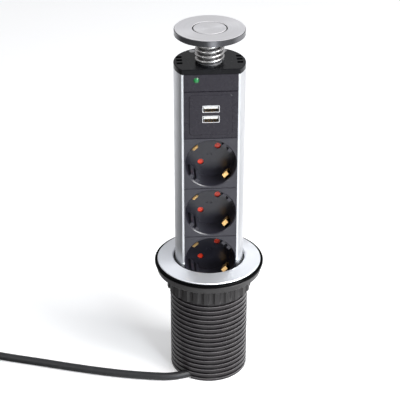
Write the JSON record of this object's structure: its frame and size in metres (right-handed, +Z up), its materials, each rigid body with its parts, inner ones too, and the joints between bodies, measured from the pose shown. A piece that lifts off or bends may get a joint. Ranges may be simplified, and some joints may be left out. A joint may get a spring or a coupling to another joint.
{
  "type": "pop up desk socket",
  "caption": "Desk socket whose round tower slides up out of a threaded sleeve, with earthed sockets, USB ports, a sprung cap and release button, a clamp nut, and a cord with its plug.",
  "frame": {"origin": "centre of the barrel's bottom rim, on the surface that it stands on", "axes": "+Z up along the tower; the sockets face -Y; +X is to the right as seen from the front"},
  "size_m": [0.4261, 0.1043, 0.3003],
  "materials": {
    "barrel_black": "fine moulded texture",
    "washer_black": "satin moulded",
    "ring_steel": "spun, brushed round",
    "profile_aluminium": "anodised, drawn lengthways",
    "panel_black": "gloss moulded",
    "socket_black": "high gloss moulded",
    "spring_chrome": "polished",
    "stem_steel": "turned",
    "shutter_red": "moulded",
    "led_green": "clear tinted",
    "brass": "rolled sheet",
    "white_plastic": "moulded",
    "board_green": "lacquered board",
    "parts_dark": "moulded and wound",
    "seal_rubber": "soft",
    "cord_black": "satin sheath",
    "plug_black": "satin moulded",
    "pin_nickel": "nickel plated",
    "wire_brown": "insulated",
    "wire_blue": "insulated",
    "wire_green": "insulated, green and yellow",
    "screw_steel": "zinc plated",
    "carrier_grey": "moulded"
  },
  "bodies": {
    "barrel": {"threaded_barrel": "barrel_black", "trim_ring": "ring_steel", "flange_seal": "seal_rubber", "guide_ring": "panel_black", "wiper_ring": "seal_rubber", "inner_lead": "cord_black", "cord_run": "cord_black", "cord_coil": "cord_black", "cord_tail": "cord_black", "coil_tie": "cord_black", "plug_body": "plug_black", "plug_pins": "pin_nickel", "plug_strips": "pin_nickel"},
    "tower": {"tower_profile": "profile_aluminium", "head_plate": "panel_black", "head_screws": "screw_steel", "bottom_cap": "panel_black", "bottom_screws": "screw_steel", "cable_gland": "seal_rubber", "stem_bushing": "carrier_grey", "pop_spring": "spring_chrome", "led_panel": "panel_black", "led_lens": "led_green", "usb_frame": "panel_black", "usb_insert": "panel_black", "usb_shells": "spring_chrome", "usb_tongues": "white_plastic", "usb_contacts": "brass", "charger_board": "board_green", "charger_parts": "parts_dark", "live_rail": "brass", "neutral_rail": "brass", "earth_rail": "brass", "rail_carrier": "carrier_grey", "blank_panel": "panel_black", "wire_live": "wire_brown", "wire_neutral": "wire_blue", "wire_earth": "wire_green", "socket_body_1": "socket_black", "contact_plate_1": "carrier_grey", "earth_bracket_1": "brass", "socket_body_2": "socket_black", "contact_plate_2": "carrier_grey", "earth_bracket_2": "brass", "socket_body_3": "socket_black", "contact_plate_3": "carrier_grey", "earth_bracket_3": "brass"},
    "lift_cap": {"cap_disc": "ring_steel", "cap_stem": "stem_steel", "stem_clip": "screw_steel", "button_spring": "spring_chrome"},
    "release_button": {"button_disc": "ring_steel", "button_rod": "stem_steel"},
    "washer": {"clamp_washer": "washer_black"},
    "nut": {"clamp_nut": "washer_black"},
    "shutter_plate_1": {"shutter_1": "shutter_red"},
    "shutter_plate_2": {"shutter_2": "shutter_red"},
    "shutter_plate_3": {"shutter_3": "shutter_red"}
  },
  "joints": [
    {"name": "tower_slide", "type": "slide", "parent": "barrel", "child": "tower", "axis": [0, 0, 1], "range_m": [-0.1879, 0.01795], "deforming": ["inner_lead"]},
    {"name": "cap_pop", "type": "slide", "parent": "tower", "child": "lift_cap", "axis": [0, 0, 1], "range_m": [-0.008, 0], "stiffness_N_per_m": 350, "springref_m": 0.012, "deforming": ["pop_spring"]},
    {"name": "button_push", "type": "slide", "parent": "lift_cap", "child": "release_button", "axis": [0, 0, 1], "range_m": [-0.0016, 0], "stiffness_N_per_m": 400, "springref_m": 0.004, "deforming": ["button_spring"]},
    {"name": "washer_slide", "type": "slide", "parent": "barrel", "child": "washer", "axis": [0, 0, 1], "range_m": [-0.05, 0]},
    {"name": "nut_turn", "type": "hinge", "parent": "washer", "child": "nut", "pos_m": [0, 0, 0.085], "axis": [0, 0, 1], "continuous": true},
    {"name": "shutter_turn_1", "type": "hinge", "parent": "tower", "child": "shutter_plate_1", "pos_m": [0, 0.00315, 0.19515], "axis": [0, 1, 0], "range_deg": [0, 36], "stiffness_Nm_per_rad": 0.002, "springref_deg": -22.92},
    {"name": "shutter_turn_2", "type": "hinge", "parent": "tower", "child": "shutter_plate_2", "pos_m": [0, 0.00315, 0.15195], "axis": [0, 1, 0], "range_deg": [0, 36], "stiffness_Nm_per_rad": 0.002, "springref_deg": -22.92},
    {"name": "shutter_turn_3", "type": "hinge", "parent": "tower", "child": "shutter_plate_3", "pos_m": [0, 0.00315, 0.10875], "axis": [0, 1, 0], "range_deg": [0, 36], "stiffness_Nm_per_rad": 0.002, "springref_deg": -22.92}
  ],
  "couplings": [
    {"joint": "nut_turn", "follows": "washer_slide", "rad_per_m": 1428}
  ]
}
